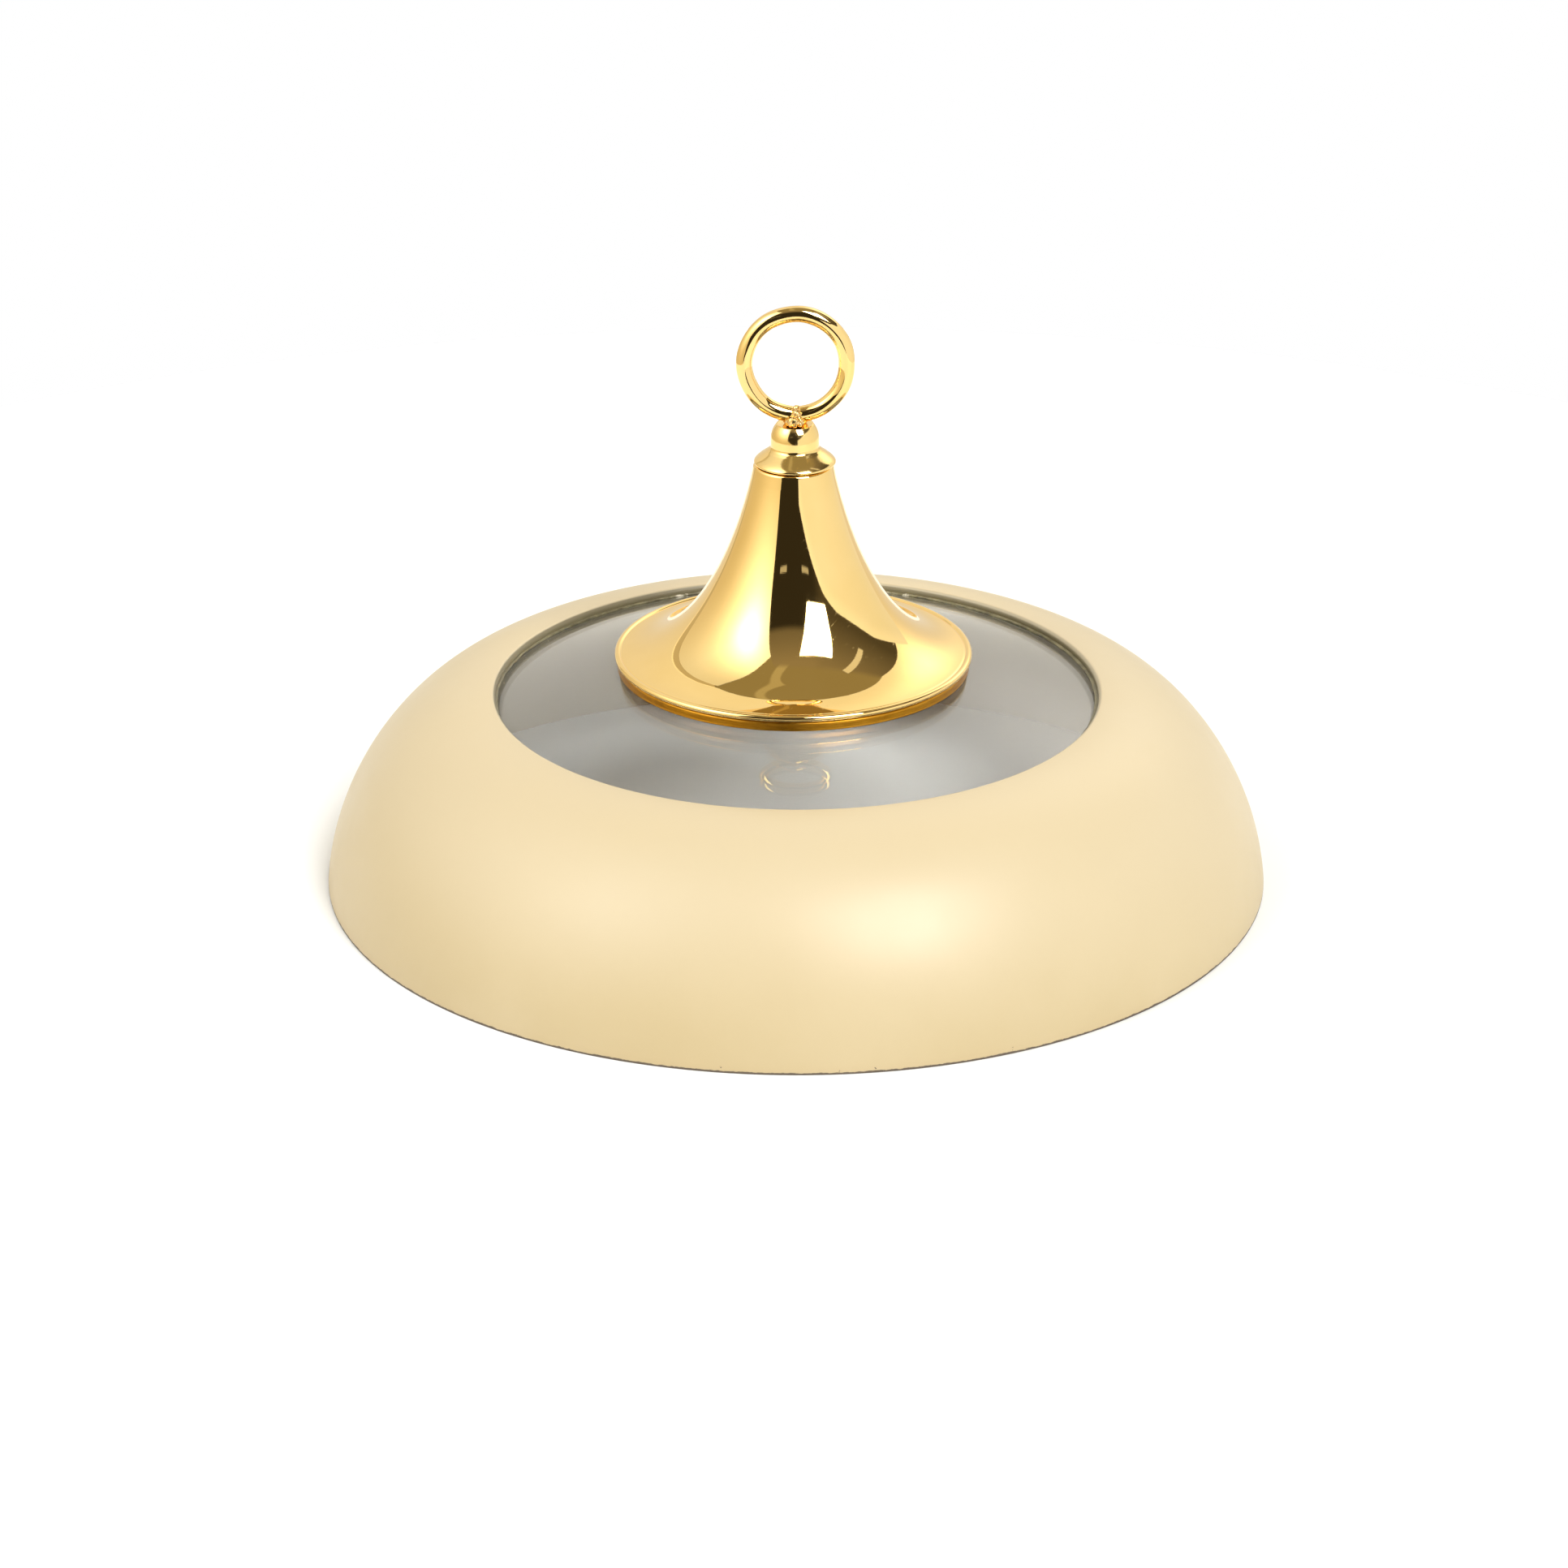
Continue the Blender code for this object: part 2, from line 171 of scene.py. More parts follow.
def rounded(corners):
    """A closed outline with rounded corners, from (radius, height, softness) corners."""
    points = []
    for i, (r, z, soft) in enumerate(corners):
        here = Vector((r, z))
        if soft == 0:
            points.append((r, z))
            continue
        back = (Vector(corners[i - 1][:2]) - here).normalized() * soft
        ahead = (Vector(corners[(i + 1) % len(corners)][:2]) - here).normalized() * soft
        points.append(tuple(here + back * 1.4))
        for k in range(CORNER_STEPS + 1):
            t = k / CORNER_STEPS
            points.append(tuple(here + back * (1 - t) ** 2 + ahead * t ** 2))
        points.append(tuple(here + ahead * 1.4))
    return points


def inside_of(line, wall):
    """The same line moved by the wall to its right-hand side, as seen going along it."""
    moved = []
    for i, (r, z) in enumerate(line):
        before = line[max(i - 1, 0)]
        after = line[min(i + 1, len(line) - 1)]
        along = Vector((after[0] - before[0], after[1] - before[1])).normalized()
        moved.append((r + along.y * wall, z - along.x * wall))
    return moved


def sheet_outline(line, wall):
    """A closed outline of a sheet: the line is one face and the wall lies to its right."""
    inner = inside_of(line, wall)
    ends = []
    for outer_point, inner_point in ((line[-1], inner[-1]), (inner[0], line[0])):
        a, b = Vector(outer_point), Vector(inner_point)
        ends.append([tuple(a.lerp(b, t)) for t in (0.06, 0.94)])
    return line + ends[0] + inner[::-1] + ends[1]


# ---------------------------------------------------------------- meshes

SAME_PLACE = 1e-8


def new_object(name, vertices, faces):
    """A smooth mesh object. Vertices come in millimetres."""
    mesh = bpy.data.meshes.new(name)
    mesh.from_pydata([tuple(float(x) * MM for x in v) for v in vertices], [], faces)
    mesh.validate()
    shape = bmesh.new()
    shape.from_mesh(mesh)
    bmesh.ops.remove_doubles(shape, verts=shape.verts, dist=SAME_PLACE)
    shape.to_mesh(mesh)
    shape.free()
    mesh.shade_smooth()
    obj = bpy.data.objects.new(name, mesh)
    bpy.context.scene.collection.objects.link(obj)
    return obj


def lathe(name, outline, segments, reshape=None):
    """Turns an outline about Z. It is closed, or has both ends on the axis. reshape takes and
    returns the x, y and z arrays of all points, to work in what a lathe can't make."""
    line = np.array([(p[0], p[1]) for p in outline], float)
    following = np.roll(line, -1, axis=0)
    area = np.sum(line[:, 0] * following[:, 1] - following[:, 0] * line[:, 1])
    if area > 0:
        line = line[::-1]
    count = len(line)
    on_axis = line[0, 0] == 0 and line[-1, 0] == 0
    angle = np.arange(segments) * 2 * math.pi / segments
    x = np.outer(line[:, 0], np.cos(angle))
    y = np.outer(line[:, 0], np.sin(angle))
    z = np.repeat(line[:, 1:2], segments, axis=1)
    if reshape is not None:
        x, y, z = reshape(x, y, z)
    vertices = np.stack([x, y, z], axis=-1).reshape(-1, 3)
    faces = []
    for i in range(count - 1 if on_axis else count):
        row, next_row = i * segments, (i + 1) % count * segments
        for j in range(segments):
            k = (j + 1) % segments
            faces.append((row + j, next_row + j, next_row + k, row + k))
    return new_object(name, vertices, faces)


def noise_at(x, y, z, scale, seed, octaves=3):
    """Fractal noise at each point of three arrays, about -1 to 1. Scale is per millimetre."""
    offset = Vector((seed * 17.3, seed * 5.1, seed * 29.7))
    flat = [
        noise.fractal(Vector(p) * scale + offset, 1.0, 2.0, octaves)
        for p in np.stack([x, y, z], axis=-1).reshape(-1, 3)
    ]
    return np.array(flat).reshape(x.shape)


# ---------------------------------------------------------------- shader nodes

class Nodes:
    """Adds and links nodes in one node tree."""

    def __init__(self, tree):
        self.tree = tree

    def feed(self, socket, value):
        """Links a socket to another one, or sets its value. A colour has three parts here."""
        if isinstance(value, bpy.types.NodeSocket):
            self.tree.links.new(value, socket)
        elif isinstance(value, tuple):
            socket.default_value = (*value, 1.0)
        else:
            socket.default_value = value

    def add(self, kind, inputs=None, **settings):
        node = self.tree.nodes.new(kind)
        for key, value in settings.items():
            setattr(node, key, value)
        for key, value in (inputs or {}).items():
            self.feed(node.inputs[key], value)
        return node

    def math(self, operation, *values):
        node = self.add("ShaderNodeMath", operation=operation)
        for socket, value in zip(node.inputs, values):
            self.feed(socket, value)
        return node.outputs[0]

    def less(self, value, amount):
        return self.math("SUBTRACT", value, amount)

    def sum(self, *values):
        total = values[0]
        for value in values[1:]:
            total = self.math("ADD", total, value)
        return total

    def product(self, *values):
        total = values[0]
        for value in values[1:]:
            total = self.math("MULTIPLY", total, value)
        return total

    def ramp(self, value, low, high, start=0.0, end=1.0):
        """Goes smoothly from start to end while the value goes from low to high."""
        node = self.add("ShaderNodeMapRange", interpolation_type="SMOOTHSTEP")
        for socket, number in zip(node.inputs, (value, low, high, start, end)):
            self.feed(socket, number)
        return node.outputs[0]

    def line(self, value, low, high, start, end):
        """Goes evenly from start to end while the value goes from low to high."""
        node = self.add("ShaderNodeMapRange")
        for socket, number in zip(node.inputs, (value, low, high, start, end)):
            self.feed(socket, number)
        return node.outputs[0]

    def mix(self, factor, a, b):
        """Colour a where the factor is 0, and colour b where it is 1. The node has a set of
        sockets for each type of data, so those for colours go by number."""
        node = self.add("ShaderNodeMix", data_type="RGBA")
        for index, value in ((0, factor), (6, a), (7, b)):
            self.feed(node.inputs[index], value)
        return node.outputs[2]

    def noise(self, place, scale, detail=3.0, roughness=0.5, w=None):
        inputs = {"Vector": place, "Scale": scale, "Detail": detail, "Roughness": roughness}
        node = self.add("ShaderNodeTexNoise", inputs, noise_dimensions="3D" if w is None else "4D")
        if w is not None:
            self.feed(node.inputs["W"], w)
        return node.outputs[0]


class Finish(Nodes):
    """A material with a Principled shader. Its coordinates are the object's own."""

    def __init__(self, name, **settings):
        self.material = bpy.data.materials.new(name)
        self.material.use_nodes = True
        super().__init__(self.material.node_tree)
        self.shader = self.tree.nodes["Principled BSDF"]
        for key, value in settings.items():
            self.set(key.replace("_", " "), value)
        coordinates = self.add("ShaderNodeTexCoord").outputs
        self.place = coordinates["Object"]
        self.normal = coordinates["Normal"]
        split = self.add("ShaderNodeSeparateXYZ", {"Vector": self.place})
        self.x, self.y, self.z = split.outputs

    def set(self, name, value):
        self.feed(self.shader.inputs[name], value)

    def radius(self):
        """Distance from the axis."""
        return self.math("SQRT", self.sum(self.product(self.x, self.x), self.product(self.y, self.y)))

    def turning_marks(self, fineness, stretch):
        """Noise drawn out round the axis: fine across the turning direction, long along it."""
        radius = self.radius()
        angle_cos = self.math("DIVIDE", self.x, self.math("ADD", radius, 1e-6))
        angle_sin = self.math("DIVIDE", self.y, self.math("ADD", radius, 1e-6))
        place = self.add("ShaderNodeCombineXYZ", {
            0: self.product(radius, fineness),
            1: self.product(self.z, fineness),
            2: self.product(angle_cos, stretch),
        }).outputs[0]
        return self.noise(place, 1.0, 2.0, 0.6, w=self.product(angle_sin, stretch))

    def specks(self, per_metre, size, share):
        """1 on small round spots: one may lie in each cell of a grid, and only a share do."""
        inputs = {"Vector": self.place, "Scale": per_metre}
        cells = self.add("ShaderNodeTexVoronoi", inputs)
        pick = self.add("ShaderNodeSeparateColor", {"Color": cells.outputs["Color"]}).outputs[0]
        near = self.ramp(cells.outputs["Distance"], size * per_metre, size * per_metre * 0.6)
        return self.product(near, self.math("LESS_THAN", pick, share))

    def bump(self, height, strength, distance):
        inputs = {"Height": height, "Strength": strength, "Distance": distance}
        self.set("Normal", self.add("ShaderNodeBump", inputs).outputs[0])


def cream_paint():
    """Stove paint outside, paler at the crown and darker at the foot as painted light and shade, a
    dull undercoat inside, painted shade on the lip's inner face and a bare cut edge.
    """
    undercoat = (0.37, 0.32, 0.215)
    lip_painted_shade = (0.12, 0.10, 0.045)
    bare_sheet = (0.16, 0.13, 0.10)
    paint = Finish("cream_stove_paint", IOR=1.47)
    cloud = paint.noise(paint.place, 14.0, 4.0)
    # Paler and less yellow towards the crown, darker and yellower towards the foot: painted light and
    # shade in the paint's colour.
    rise = paint.ramp(paint.z, 0.0, 0.050)
    coat = paint.mix(rise, (0.484, 0.382, 0.207), (0.541, 0.448, 0.285))
    base = paint.mix(paint.ramp(cloud, 0.3, 0.7, 0.0, 0.5), coat, (0.551, 0.452, 0.279))
    specks = paint.specks(42.0, 0.00028, 0.16)
    base = paint.mix(paint.product(specks, 0.85), base, (0.16, 0.11, 0.06))

    normal = paint.add("ShaderNodeSeparateXYZ", {"Vector": paint.normal}).outputs
    facing = paint.sum(paint.product(normal[0], paint.x), paint.product(normal[1], paint.y))
    outside = paint.ramp(facing, -0.06, -0.02)
    # Paint a little darker and browner in the last few millimetres above the rim, on the outside only.
    patchy = paint.noise(paint.place, 160.0)
    browner_near_rim = paint.ramp(paint.sum(paint.z, paint.product(patchy, 0.003)), 0.006, 0.002)
    base = paint.mix(paint.product(browner_near_rim, outside, 0.14), base, (0.50, 0.37, 0.20))

    ragged = paint.noise(paint.place, 420.0, 4.0, 0.65)
    edge = paint.ramp(paint.sum(paint.z, paint.product(ragged, -0.0011)), 0.0003, 0.0001)
    chips = paint.noise(paint.place, 150.0, 5.0, 0.7)
    chipped = paint.product(paint.ramp(chips, 0.68, 0.70), paint.ramp(paint.z, 0.0030, 0.0014))
    bare = paint.product(paint.math("MAXIMUM", edge, chipped), outside)
    base = paint.mix(outside, undercoat, base)
    # The lip's inner face under the roll is coloured near-black olive: painted shade under the rolled
    # edge.
    lip = paint.ramp(paint.radius(), (CROWN_RADIUS + 0.55) * MM, (CROWN_RADIUS + 0.25) * MM)
    base = paint.mix(paint.product(lip, 0.8), base, lip_painted_shade)
    base = paint.mix(bare, base, bare_sheet)
    paint.set("Base Color", base)
    paint.set("Metallic", paint.product(bare, 0.8))

    peel = paint.noise(paint.place, 700.0, 2.0)
    haze = paint.ramp(paint.noise(paint.place, 30.0, 5.0, 0.6), 0.3, 0.7, 0.36, 0.43)
    paint.set("Roughness", paint.sum(haze, paint.product(bare, 0.1)))
    swell = paint.noise(paint.place, 60.0, 2.0)
    height = paint.sum(peel, paint.product(swell, 3.0), paint.product(bare, -2.0),
                       paint.product(specks, 2.0))
    paint.bump(height, 0.25, 0.00003)
    return paint.material


def clear_glass():
    """Clear pane with faint smears and dust, and a greener, ground edge."""
    glass = Finish("clear_glass", IOR=1.5, Transmission_Weight=0.96)
    smear = glass.noise(glass.place, 22.0, 6.0, 0.65)
    dust = glass.specks(260.0, 0.00016, 0.10)
    tint = glass.mix(glass.ramp(smear, 0.45, 0.75), (0.992, 0.992, 0.975), (0.975, 0.975, 0.955))
    edge_start = 0.0985
    edge_end = 0.1035
    edge = glass.ramp(glass.radius(), edge_start, edge_end)
    tint = glass.mix(edge, tint, (0.55, 0.78, 0.66))
    glass.set("Base Color", tint)
    rough = glass.sum(glass.ramp(smear, 0.6, 0.8, 0.0, 0.02), glass.product(dust, 0.3),
                      glass.product(edge, 0.35))
    glass.set("Roughness", rough)
    ripple = glass.noise(glass.place, 18.0, 2.0)
    glass.bump(glass.sum(ripple, glass.product(dust, 0.3)), 0.012, 0.0002)
    return glass.material


def silicone_painted_shade():
    """Clear silicone coloured dark olive as painted shade under the lip, with a few pale bits."""
    sealant = Finish("silicone_painted_shade", IOR=1.41)
    blotch = sealant.noise(sealant.place, 240.0, 5.0, 0.65)
    pale = sealant.ramp(sealant.noise(sealant.place, 70.0, 2.0), 0.60, 0.68)
    # Dark olive colours stand for the shade under the lip: painted shade on the silicone.
    base = sealant.mix(sealant.ramp(blotch, 0.35, 0.70), (0.10, 0.085, 0.040), (0.21, 0.185, 0.10))
    base = sealant.mix(sealant.product(pale, sealant.ramp(blotch, 0.5, 0.6)), base, (0.62, 0.57, 0.44))
    sealant.set("Base Color", base)
    sealant.set("Roughness", sealant.ramp(blotch, 0.3, 0.7, 0.30, 0.42))
    sealant.bump(sealant.noise(sealant.place, 600.0, 4.0), 0.15, 0.0003)
    return sealant.material


def polished_gold(name, dullness):
    """Gold plate. Dullness is the least roughness: low on the trumpet, higher on the cap."""
    pit_dirt = (0.45, 0.28, 0.08)
    gold = Finish(name, Metallic=1.0)
    cloud = gold.noise(gold.place, 45.0, 4.0)
    base = gold.mix(gold.ramp(cloud, 0.3, 0.7), (0.93, 0.655, 0.245), (0.955, 0.685, 0.275))
    pits = gold.specks(420.0, 0.00009, 0.16)
    gold.set("Base Color", gold.mix(gold.product(pits, 0.4), base, pit_dirt))
    marks = gold.turning_marks(2600.0, 5.0)
    rubbed = gold.noise(gold.place, 60.0, 6.0, 0.7)
    along = gold.sum(gold.x, gold.product(gold.z, 0.7))
    up = gold.sum(gold.product(gold.x, -0.7), gold.z)
    drawn = gold.add("ShaderNodeCombineXYZ", {
        0: gold.product(along, 90.0),
        1: gold.product(gold.y, 400.0),
        2: gold.product(up, 1400.0),
    }).outputs[0]
    lines = gold.ramp(gold.noise(drawn, 1.0, 2.0), 0.66, 0.70)
    scratches = gold.product(lines, gold.ramp(rubbed, 0.45, 0.6))
    rough = gold.sum(gold.ramp(marks, 0.55, 0.8, dullness, dullness + 0.045), gold.product(pits, 0.2),
                     gold.ramp(rubbed, 0.5, 0.8, 0.0, 0.04), gold.product(scratches, 0.14))
    gold.set("Roughness", rough)
    swell = gold.product(gold.noise(gold.place, 110.0, 2.0), 6.0)
    waves = gold.sum(swell, gold.noise(gold.place, 520.0, 3.0))
    gold.bump(gold.sum(marks, waves, gold.product(pits, -6.0)), 0.08, 0.00002)
    return gold.material


def brushed_gold_painted_shade():
    """Plate darkened far below the trumpet's gold as painted shade under the hem, brushed round the
    axis and tarnished in patches.
    """
    gold = Finish("brushed_gold_painted_shade", Metallic=1.0)
    marks = gold.turning_marks(5200.0, 9.0)
    blotch = gold.noise(gold.place, 130.0, 5.0, 0.65)
    # These base colours are a darkened copy of the trumpet's gold: painted shade under the hem.
    base = gold.mix(gold.ramp(marks, 0.3, 0.7), (0.42, 0.18, 0.010), (0.60, 0.29, 0.025))
    base = gold.mix(gold.ramp(blotch, 0.5, 0.75, 0.0, 0.55), base, (0.27, 0.12, 0.008))
    gold.set("Base Color", base)
    gold.set("Roughness", gold.ramp(marks, 0.3, 0.7, 0.29, 0.34))
    gold.bump(gold.sum(marks, blotch), 0.35, 0.00004)
    return gold.material


def brazed_gold():
    """Plated braze: bright on its lumps and dark between them."""
    gold = Finish("brazed_gold", Metallic=1.0)
    lumps = gold.noise(gold.place, 900.0, 5.0, 0.65)
    base = gold.mix(gold.ramp(lumps, 0.35, 0.62), (0.45, 0.25, 0.06), (0.95, 0.70, 0.32))
    gold.set("Base Color", base)
    gold.set("Roughness", gold.ramp(lumps, 0.3, 0.7, 0.22, 0.09))
    gold.bump(lumps, 0.5, 0.0003)
    return gold.material


def black_rubber():
    """Matt rubber with a pale bloom."""
    rubber = Finish("black_rubber", IOR=1.52)
    grain = rubber.noise(rubber.place, 1500.0, 4.0, 0.7)
    bloom = rubber.noise(rubber.place, 120.0, 4.0)
    base = rubber.mix(rubber.ramp(bloom, 0.45, 0.75), (0.016, 0.016, 0.017), (0.050, 0.049, 0.047))
    rubber.set("Base Color", base)
    rubber.set("Roughness", rubber.ramp(grain, 0.3, 0.7, 0.58, 0.80))
    rubber.bump(grain, 0.4, 0.0001)
    return rubber.material


def white_nylon():
    """Turned nylon, a little clouded."""
    nylon = Finish("white_nylon", IOR=1.53, Subsurface_Weight=0.15, Subsurface_Scale=0.001)
    cloud = nylon.noise(nylon.place, 180.0, 4.0)
    base = nylon.mix(nylon.ramp(cloud, 0.3, 0.7), (0.72, 0.70, 0.64), (0.82, 0.81, 0.76))
    nylon.set("Base Color", base)
    marks = nylon.turning_marks(4200.0, 6.0)
    nylon.set("Roughness", nylon.ramp(marks, 0.3, 0.7, 0.38, 0.55))
    nylon.bump(marks, 0.25, 0.00005)
    return nylon.material


def zinc_steel():
    """Zinc plate with fine spangles and dull patches."""
    steel = Finish("zinc_steel", Metallic=1.0)
    spangle = steel.noise(steel.place, 420.0, 3.0, 0.6)
    dull = steel.noise(steel.place, 90.0, 5.0, 0.6)
    base = steel.mix(steel.ramp(spangle, 0.35, 0.65), (0.50, 0.51, 0.53), (0.68, 0.69, 0.70))
    base = steel.mix(steel.ramp(dull, 0.52, 0.75, 0.0, 0.6), base, (0.36, 0.35, 0.33))
    steel.set("Base Color", base)
    marks = steel.turning_marks(3600.0, 6.0)
    rough = steel.sum(steel.ramp(dull, 0.4, 0.7, 0.29, 0.42), steel.product(marks, 0.06))
    steel.set("Roughness", rough)
    steel.bump(steel.sum(marks, spangle), 0.3, 0.00004)
    return steel.material


# ---------------------------------------------------------------- pieces

def finish_piece(obj, node, material, shift=0.0):
    """Puts a piece on the frame in place of its CAD node."""
    obj.data.materials.append(material)
    obj.location.x = shift * MM
    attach(obj, "root")
    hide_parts(node)
    return obj


LIP_ROLL = 1.5


def shell_side():
    """The shell's outer side, from the crown out and down to just above the rim."""
    crown = (CROWN_RADIUS + LIP_ROLL, SHELL.top)
    return bezier(crown, SHELL.high(26.0, 0.0), SHELL.low(2.7, 31.1), SHELL.low(0.0, 1.0), SIDE_STEPS)


def make_shell(material):
    """Spun ring: an edge rolled down on to the glass, a domed side and a cut lower edge."""
    roll_centre = (CROWN_RADIUS + LIP_ROLL, SHELL.top - LIP_ROLL)
    lip = [(CROWN_RADIUS + 0.12, SHELL.top - 2.62), (CROWN_RADIUS, SHELL.top - 2.4)]
    lip += arc(roll_centre, LIP_ROLL, 180, 92, 14)
    side = shell_side()
    foot = [SHELL.low(0.0, 0.45), SHELL.low(0.02, 0.18), SHELL.low(0.12, 0.04), SHELL.low(0.3, 0.0)]
    inner_foot = [(SHELL.radius - SHELL_WALL + 0.25, SHELL.foot), SHELL.low(SHELL_WALL, 0.2)]
    outline = sheet_outline(lip + side + foot[:1], SHELL_WALL)
    foot_start = len(lip) + len(side) + 1
    outline = outline[:foot_start] + foot[1:] + inner_foot + outline[foot_start + 2:]

    def spun(x, y, z):
        """Slight waves that spinning leaves, and a crown a little off the rim's centre."""
        angle = np.arctan2(y, x)
        radius = np.hypot(x, y)
        rise = np.clip((z - SHELL.foot) / (SHELL.top - SHELL.foot), 0, 1)
        wave = 0.05 * np.sin(2 * angle + 0.6) + 0.03 * np.sin(5 * angle + 2.1) - 0.08
        scale = 1 + wave * (1 - rise) / np.maximum(radius, 1)
        return x * scale + 0.3 * rise ** 2, y * scale, z

    shell = lathe("cream_shell_ring", outline, LARGE, spun)
    return finish_piece(shell, "cream_shell", material)


def make_glass(material):
    """Domed pane with ground edges and a drilled hole."""
    grind = 0.5
    steps = 90
    inner = GLASS_SPHERE - GLASS_THICKNESS
    top = dome_line(GLASS_SPHERE, GLASS_HOLE + grind, GLASS.radius - grind, steps)
    under = dome_line(inner, GLASS.radius - grind, GLASS_HOLE + grind, steps)
    edge = [(GLASS.radius, top[-1][1] - grind), (GLASS.radius, under[0][1] + grind)]
    hole = [(GLASS_HOLE, under[-1][1] + grind), (GLASS_HOLE, top[0][1] - grind)]
    glass = lathe("glass_pane", top + edge + under + hole, LARGE)
    return finish_piece(glass, "glass_dome", material)


def make_bead(material):
    """Silicone between the lip and the glass, with an uneven line squeezed out under the lip."""
    gap = 0.05
    fillet_top = 58.5
    top = [(r, z - SHELL_WALL - gap) for r, z in shell_side() if r <= BEAD.radius]
    fillet = bezier(top[-1], BEAD.low(-0.2, 6.0), (GLASS.radius + 2.2, BEAD.foot + 3.5),
                    (GLASS.radius + 1.5, BEAD.foot), 14)
    foot = [(GLASS.radius + 0.8, BEAD.foot), (GLASS.radius + 0.15, BEAD.foot + 0.3)]
    under = dome_line(GLASS_SPHERE + gap, GLASS.radius + 0.1, CROWN_RADIUS - 0.6, 20)
    squeeze = [(CROWN_RADIUS + out, dome_height(GLASS_SPHERE + lift, CROWN_RADIUS + out))
               for out, lift in ((-0.75, 0.2), (-0.6, 0.55), (-0.2, 0.75), (0.3, 0.8))]
    outline = top + fillet[1:] + foot + under + squeeze

    def uneven(x, y, z):
        """Ragged at the front edge and lumpy outside, with the front riding on the glass."""
        radius = np.hypot(x, y)
        flat = np.zeros_like(z)
        ripple = noise_at(x, y, flat, 0.22, 3)
        fine = noise_at(x, y, flat, 0.9, 8)
        front = np.clip((CROWN_RADIUS + 0.2 - radius) / 0.9, 0, 1)
        outside = np.clip((radius - GLASS.radius - 0.3) / 1.2, 0, 1)
        outside *= np.clip((fillet_top - z) / 2.0, 0, 1)
        push = -front * (0.15 + 0.35 * ripple + 0.12 * fine)
        push += outside * (0.5 * ripple + 0.3 * fine - 0.3)
        scale = 1 + push / radius
        fall = -front * push * radius / GLASS_SPHERE
        return x * scale, y * scale, z - fall

    bead = lathe("sealant_line", outline, LARGE, uneven)
    return finish_piece(bead, "sealant_bead", material)


def make_trumpet(material):
    """Spun trumpet: a small rounded neck edge, a long flare and a hem rolled round the lip."""
    neck_edge = 1.0
    neck_hole = 4.5
    neck_radius = TRUMPET.radius - 43.85
    corner = (neck_radius - neck_edge, TRUMPET.top - neck_edge)
    top = [(r, TRUMPET.top) for r in (neck_hole, 6.0, neck_radius - neck_edge * 1.6)]
    turn = arc(corner, neck_edge, 90, 8, 10)
    flare = bezier((neck_radius + 0.67, TRUMPET.top - 4.2), TRUMPET.high(36.96, 31.6),
                   TRUMPET.low(23.65, 4.15), TRUMPET.low(2.35, 1.78), 130)
    crease = [TRUMPET.low(2.18, 1.66), TRUMPET.low(2.05, 1.60), TRUMPET.low(1.92, 1.68)]
    hem = bezier(TRUMPET.low(1.80, 1.80), TRUMPET.low(1.1, 2.25), TRUMPET.low(0.0, 1.9),
                 TRUMPET.low(0.0, 0.85), 16)
    hem += bezier(hem[-1], TRUMPET.low(0.0, 0.3), TRUMPET.low(0.4, 0.0),
                  TRUMPET.low(0.95, 0.0), 10)[1:]
    hem += bezier(hem[-1], TRUMPET.low(1.5, 0.0), TRUMPET.low(1.9, 0.3),
                  TRUMPET.low(2.1, 0.8), 8)[1:]
    outer = top + turn + flare + crease
    inner_line = inside_of(top + turn + flare, SHEET_WALL)
    inner_line[0] = (neck_hole, TRUMPET.top - SHEET_WALL)
    hole_edge = [(neck_hole, TRUMPET.top - SHEET_WALL + 0.05), (neck_hole, TRUMPET.top - 0.05)]
    trumpet = lathe("trumpet_spinning", outer + hem + inner_line[::-1] + hole_edge, MIDDLE)
    return finish_piece(trumpet, "trumpet_handle", material, SIDE_PLAY["trumpet"])


def make_cup(material):
    """Brushed saucer with a short skirt that ends in a thin, slightly flared edge."""
    bend = 0.9
    bend_start = CUP.radius - bend
    corner = (bend_start, dome_height(CUP_SPHERE, bend_start) - bend)
    saucer = dome_line(CUP_SPHERE, ROD_BORE, CUP.radius - bend * 0.8, 40)
    turn = arc(corner, bend, 76, 2, 12)
    skirt = [CUP.low(0.0, 0.75), CUP.low(0.0, 0.45), CUP.low(-0.06, 0.3), CUP.low(-0.08, 0.12),
             CUP.low(0.0, 0.0)]
    cup = lathe("base_saucer", sheet_outline(saucer + turn + skirt, SHEET_WALL), MIDDLE)
    return finish_piece(cup, "base_cup", material, SIDE_PLAY["cup"])


def make_pad(material):
    """Rubber pad between the saucer and the glass."""
    hole = 8.0
    edge = 0.3
    drop = 0.35
    steps = 30
    top = dome_line(PAD_TOP_SPHERE, hole + edge, PAD.radius - edge, steps)
    under = dome_line(PAD_UNDER_SPHERE, PAD.radius - edge, hole + edge, steps)
    outer = [(PAD.radius, top[-1][1] - drop), (PAD.radius, under[0][1] + drop)]
    inner = [(hole, under[-1][1] + drop), (hole, top[0][1] - drop)]
    pad = lathe("saucer_pad", top + outer + under + inner, MIDDLE)
    return finish_piece(pad, "base_gasket", material, SIDE_PLAY["cup"])


